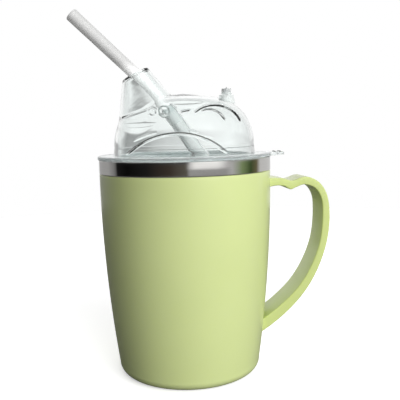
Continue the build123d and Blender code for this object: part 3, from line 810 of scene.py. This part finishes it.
def make_dome(material):
    """Clear dome and tower as one closed wall, open at the foot and at the straw's hole."""
    columns, rows = 640, 420
    outer = dome_surface(0.0, columns, rows)
    inner = dome_surface(DOME_WALL, columns, rows)[::-1]
    points = np.concatenate([outer.reshape(-1, 3), inner.reshape(-1, 3)])
    faces = grid_faces(2 * rows, columns, wrap_rows=True)
    obj = face_out(add_mesh("dome", points, faces, sharp=55))
    return dress(obj, material, "lid", "clear_plastic", "lid_dome")


def make_stub(material):
    """Vent stub on the dome's shoulder: a wide foot, a waist and a short nipple."""
    corners = [
        (4.5, 134.0, 0.3),
        (4.3, 135.4, 0.8),
        (2.6, 138.9, 0.8),
        (2.2, 140.2, 0.4),
        (2.35, 140.8, 0.2),
        (2.35, 142.4, 0.3),
    ]
    outline = [(0, 134.0)] + soften(corners, 5) + [(0, 142.4)]
    obj = lathe("vent_stub", outline, 96, closed=False)
    obj.data.transform(Matrix.Translation(Vector((STUB_X, 0, 0)) * MM))
    dress(face_out(obj), material, "lid", "clear_plastic")


def make_vent_plug(material):
    """Soft plug in the vent stub, with a rounded head."""
    corners = [(1.1, 138.2, 0.4), (1.1, 142.44, 0.1), (2.38, 142.44, 0.2), (2.3, 143.48, 0.4)]
    outline = [(0, 138.2)] + soften(corners, 4) + [(0, 143.49)]
    obj = lathe("plug", outline, 64, closed=False)
    obj.data.transform(Matrix.Translation(Vector((STUB_X, 0, 0)) * MM))
    return dress(face_out(obj), material, "lid", "seal_silicone", "vent_plug")


# ---- straw -----------------------------------------------------------------------------------
STEP = 0.5  # distance between two rings of the straw and of the tube
STRAW_RINGS_INSIDE = 66
TUBE_FIRST_RING = 46


def inner_path():
    """Centres of straw and tube below the tower's hole: gentle bend, straight, bend, upright."""
    spot = Vector(STRAW_EXIT)
    lean, turned, bend_radius, straight, low_radius = 46.0, 13.0, 163.0, 13.3, 110.0
    first_lean, bend_length = lean, math.radians(turned) * bend_radius
    centres = [spot.copy()]
    travelled = 0.0
    while spot.z > TUBE_FOOT - 3.0:
        if travelled < bend_length:
            lean = first_lean - turned * travelled / bend_length
        elif travelled < bend_length + straight:
            lean = first_lean - turned
        else:
            lean = max(0.0, lean - math.degrees(STEP / low_radius))
        a = math.radians(lean)
        spot = spot + Vector((math.sin(a), 0, -math.cos(a))) * STEP
        centres.append(spot.copy())
        travelled += STEP
    return centres


def make_straw(material):
    """Soft straw from its rounded mouth end through the tower into the dip tube, in one piece."""
    below = inner_path()[:STRAW_RINGS_INSIDE]
    lip_angles, lip_start = (10, 30, 50, 70, 90), EXIT_TO_PIVOT + STRAW_LENGTH - 1.0
    ahead = [STRAW_EXIT + STRAW_OUT * s for s in np.arange(STEP, lip_start, STEP)]
    lip = [lip_start + math.sin(math.radians(a)) for a in lip_angles]
    centres = below[::-1] + ahead + [STRAW_EXIT + STRAW_OUT * s for s in lip]
    outer, inner = [], []
    for i in range(len(centres)):
        s = (i - len(below) + 1) * STEP
        share = min(1.0, max(0.0, (s - EXIT_TO_PIVOT) / (STRAW_LENGTH - EXIT_TO_PIVOT)))
        outer.append(STRAW_R + (STRAW_TIP_R - STRAW_R) * share)
        inner.append(outer[-1] - STRAW_WALL)
    for k, a in enumerate(lip_angles):
        curl = 1 - math.cos(math.radians(a))
        outer[k - len(lip_angles)] = STRAW_TIP_R - 0.6 * curl
        inner[k - len(lip_angles)] = STRAW_TIP_R - STRAW_WALL + 0.25 * curl
    obj = tube("straw", centres, outer, inner, 56)
    dress(obj, material, None, "straw_silicone", "straw_tip", "straw_stem")
    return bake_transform(obj)


def make_dip_tube(material):
    """Wider tube that takes the straw's lower end and runs down into the cup, with a cut foot."""
    slant, cut_length, cut_lift = math.radians(30.0), 14, 2.1
    centres = [c for c in inner_path()[TUBE_FIRST_RING:] if c.z > TUBE_FOOT + 0.3]
    outer, inner = [3.75] * len(centres), [3.16] * len(centres)
    outer[0], inner[0] = 3.6, 3.3
    obj = tube("tube", centres, outer, inner, 56)
    foot_x = centres[-1].x
    for vertex in obj.data.vertices:
        z = vertex.co.z / MM
        lift = (vertex.co.x / MM - foot_x) * -math.tan(slant)
        if z < TUBE_FOOT + cut_length:
            share = (TUBE_FOOT + cut_length - z) / cut_length
            vertex.co.z += (lift + cut_lift) * share * MM
    return dress(obj, material, "lid", "tube_plastic", "dip_tube")


def make_collar(material):
    """Ring that holds the tube's top end round the straw."""
    centres = inner_path()[TUBE_FIRST_RING - 1 : TUBE_FIRST_RING + 7]
    outer = [4.3, 4.7, 4.75, 4.6, 4.6, 4.75, 4.7, 4.3]
    obj = tube("collar", centres, outer, [3.78] * len(centres), 56)
    return dress(obj, material, "lid", "clear_plastic", "tube_collar")


# ---- studio ----------------------------------------------------------------------------------
def make_floor():
    """Plain pale floor that ends before the rim's reflection of it would."""
    count, radius, level = 128, 620.0, -0.02
    points = [(0, 0, level)]
    for k in range(count):
        a = TURN * k / count
        points.append((radius * math.cos(a), radius * math.sin(a), level))
    faces = [(0, 1 + k, 1 + (k + 1) % count) for k in range(count)]
    floor = add_mesh("floor", points, faces)
    material = new_material("floor")
    n = Nodes(material.node_tree)
    cloud = n.noise(n.object_place(), 6.0)
    colour = n.ramp(cloud, ((0.3, (0.90, 0.90, 0.90)), (0.7, (0.93, 0.93, 0.93))))
    matt = n.add("ShaderNodeBsdfPrincipled", {"Base Color": colour, "Roughness": 0.6}).outputs[0]
    glow = n.add("ShaderNodeEmission", {0: (1, 1, 1, 1), 1: 0.5}).outputs[0]
    bright = n.add("ShaderNodeAddShader", {0: matt, 1: glow}).outputs[0]
    dull = n.add(
        "ShaderNodeBsdfPrincipled", {"Base Color": (0.15, 0.15, 0.145, 1), "Roughness": 0.8}
    )
    path = n.add("ShaderNodeLightPath")
    through = n.math("MULTIPLY", path.outputs["Is Transmission Ray"], 0.6)
    seen = n.math("ADD", path.outputs["Is Camera Ray"], through)
    mix = n.add("ShaderNodeMixShader", {0: seen, 1: dull.outputs[0], 2: bright}).outputs[0]
    out = n.add("ShaderNodeOutputMaterial")
    n.tree.links.new(mix, out.inputs[0])
    floor.data.materials.append(material)


LAMP = 0.5
GLINT = 0.75
ROOF = 0.2


def make_world():
    """Studio all round, by compass angle from the front: white behind, a soft lamp front right,
    green at the right, dark front left. The camera itself sees plain white."""
    world = bpy.data.worlds.new("studio")
    bpy.context.scene.world = world
    world.use_nodes = True
    world.node_tree.nodes.clear()
    n = Nodes(world.node_tree)
    way = n.add("ShaderNodeTexCoord").outputs["Generated"]
    split = n.add("ShaderNodeSeparateXYZ", {0: way})
    x, y, z = split.outputs[0], split.outputs[1], split.outputs[2]
    azimuth = n.math("ARCTAN2", x, n.math("MULTIPLY", y, -1.0))
    round_share = n.math("ADD", n.math("DIVIDE", azimuth, TURN), 0.5)

    def at(degrees):
        return 0.5 + degrees / 360

    room = (
        (at(-160), 0.42),
        (at(-125), 0.42),
        (at(-111), 0.26),
        (at(-106), 0.13),
        (at(-104), 0.012),
        (at(-85), 0.004),
        (at(-55), 0.014),
        (at(-25), (0.055, 0.042, 0.034)),
        (at(-3), (0.13, 0.12, 0.10)),
        (at(1), 0.40),
        (at(48), 0.38),
        (at(58), 0.56),
        (at(74), (0.24, 0.32, 0.15)),
        (at(90), (0.055, 0.09, 0.03)),
        (at(103), (0.17, 0.15, 0.08)),
        (at(112), 0.7),
        (at(150), 0.68),
        (at(166), 0.93),
    )
    high_room = (
        (at(-172), 1.0),
        (at(-150), 0.95),
        (at(-132), 0.5),
        (at(-115), 0.08),
        (at(-95), 0.03),
        (at(-50), 0.02),
        (at(-3), 0.1),
        (at(48), 0.3),
        (at(58), 0.45),
        (at(119), 0.65),
        (at(150), 0.95),
        (at(166), 1.05),
    )
    low_back = (
        (at(169), 1.05),
        (at(173.6), 0.82),
        (at(177), 0.68),
        (at(178.6), 0.56),
        (at(179.5), 0.44),
        (at(180), 0.36),
    )
    left_back = (
        (at(-180), 0.36),
        (at(-179), 0.33),
        (at(-174.5), 0.32),
        (at(-171.5), 0.6),
        (at(-168), 0.95),
    )
    high_back = ((at(172), 1.1), (at(180), 1.0))
    high_left = ((at(-180), 1.0), (at(-178.5), 1.05))
    low_walls = n.ramp(round_share, left_back + room + low_back, smooth=False)
    high_walls = n.ramp(round_share, high_left + high_room + high_back, smooth=False)
    rise = n.math("ADD", n.math("MULTIPLY", z, 0.5), 0.5)
    upper = n.ramp(rise, ((0.502, 0.0), (0.512, 1.0)))
    walls = n.mix_colours(upper, low_walls, high_walls)
    lamp = n.ramp(round_share, ((at(-1), 0.0), (at(2), 1.0), (at(44), 1.0), (at(56), 0.0)))
    window = n.ramp(round_share, ((at(-6), 0.0), (at(10), 1.0), (at(34), 1.0), (at(60), 0.0)))
    high = n.ramp(rise, ((0.74, 0.0), (0.90, 1.0)))
    streak = n.ramp(
        rise, ((0.4631, 0.0), (0.4662, 0.18), (0.4677, 0.42), (0.4692, 1.0)), smooth=False
    )
    above = n.ramp(rise, ((0.49, 0.0), (0.54, 1.0)))
    glint = n.math("MULTIPLY", n.math("MULTIPLY", streak, window), GLINT)
    lift = n.math("MULTIPLY", n.math("MULTIPLY", above, lamp), LAMP)
    extra = n.math("ADD", glint, lift)
    extra_colour = n.add("ShaderNodeCombineXYZ", {0: extra, 1: extra, 2: extra}).outputs[0]
    lit = n.mix_colours(1.0, walls, extra_colour, blend_type="ADD")
    roof = n.mix_colours(high, lit, (ROOF, ROOF, ROOF, 1))
    # what is seen through clear plastic from the sides and from below is bright
    around = n.ramp(
        round_share, ((at(-118), 0.0), (at(-105), 1.0), (at(105), 1.0), (at(118), 0.0))
    )
    through = n.add("ShaderNodeLightPath").outputs["Is Transmission Ray"]
    opened = n.math("MULTIPLY", through, n.math("MAXIMUM", around, high))
    shown = n.mix_colours(opened, roof, (0.82, 0.83, 0.83, 1))
    studio = n.add("ShaderNodeBackground", {0: shown, 1: 1.0}).outputs[0]
    white = n.add("ShaderNodeBackground", {0: (1, 1, 1, 1), 1: 1.0}).outputs[0]
    seen = n.add("ShaderNodeLightPath").outputs["Is Camera Ray"]
    mix = n.add("ShaderNodeMixShader", {0: seen, 1: studio, 2: white}).outputs[0]
    out = n.add("ShaderNodeOutputWorld")
    n.tree.links.new(mix, out.inputs[0])


def area_light(name, place, target, size, power, mirrored=True):
    """A soft light that faces its target; one that isn't mirrored makes no white spot in gloss."""
    data = bpy.data.lights.new(name, "AREA")
    data.shape = "RECTANGLE"
    data.size, data.size_y = size
    data.energy = power
    light = bpy.data.objects.new(name, data)
    place, target = Vector(place), Vector(target)
    light.rotation_euler = (target - place).to_track_quat("-Z", "Y").to_euler()
    light.location = place
    light.visible_glossy = light.visible_transmission = mirrored
    bpy.context.scene.collection.objects.link(light)


def main():
    """The studio, then every piece with its material."""
    make_camera()
    make_world()
    make_floor()
    mug_middle = (0, 0, 0.08)
    area_light("overhead", (0.1, 0.3, 0.9), mug_middle, (0.5, 0.5), 0.4)
    area_light("key", (0.49, -1.0, 0.53), mug_middle, (1.05, 0.85), 15.3, mirrored=False)
    area_light("back", (-0.55, 0.95, 0.5), mug_middle, (0.9, 0.7), 3.0, mirrored=False)
    bpy.context.scene.view_settings.view_transform = "Standard"

    lime = gloss_plastic("lime_plastic", (0.61, 0.69, 0.31), (0.595, 0.675, 0.30))
    # the handle's copy of the lime plastic is a little darker: painted shade that holds the handle
    # down under the key lamp's stronger light
    grip = gloss_plastic("lime_grip_plastic_painted_shade", (0.57, 0.65, 0.25), (0.555, 0.635, 0.24))
    steel = polished_steel()
    clear = clear_plastic("clear_plastic", (0.968, 0.995, 0.988), 0.015, (0.95, 0.965, 0.965))
    pipe = clear_plastic("tube_plastic", (0.96, 0.975, 0.97), 0.08, (0.8, 0.82, 0.82), 0.08,
                         (0.6, 0.61, 0.61))
    # below the tower's mouth this straw is painted whiter than its milk colour: painted light for
    # the part inside the dome
    soft = clear_plastic("straw_silicone", (0.985, 0.985, 0.98), 0.3, (0.9, 0.9, 0.9), 0.82,
                         (0.63, 0.63, 0.625), skin=True)
    plate = clear_plastic("lid_plate_plastic", (0.968, 0.995, 0.988), 0.02, (0.95, 0.965, 0.965),
                          0.18, (0.74, 0.79, 0.79))
    # the vent stub lies wholly below the tower's mouth, so it takes the painted whiter colour too:
    # painted light
    vent = clear_plastic("vent_plastic", (0.97, 0.99, 0.985), 0.05, (0.9, 0.92, 0.92), 0.3,
                         (0.72, 0.74, 0.74), skin=True)
    seal = clear_plastic("seal_silicone", (0.93, 0.95, 0.95), 0.3, (0.7, 0.72, 0.72), 0.6,
                         (0.56, 0.58, 0.58))
    # the ribs' dark grey is painted shade for the dark edges of the tab's clear ribs
    rib = gloss_plastic("dark_rib_painted_shade", (0.10, 0.105, 0.10), (0.07, 0.075, 0.07))

    make_shell(lime)
    make_handle(grip)
    make_seal(seal)
    make_cup(steel)
    make_plate(plate)
    make_tab_ribs(rib)
    make_gasket(seal)
    make_dome(clear)
    make_stub(vent)
    make_vent_plug(seal)
    make_collar(clear)
    make_dip_tube(pipe)
    make_straw(soft)


main()
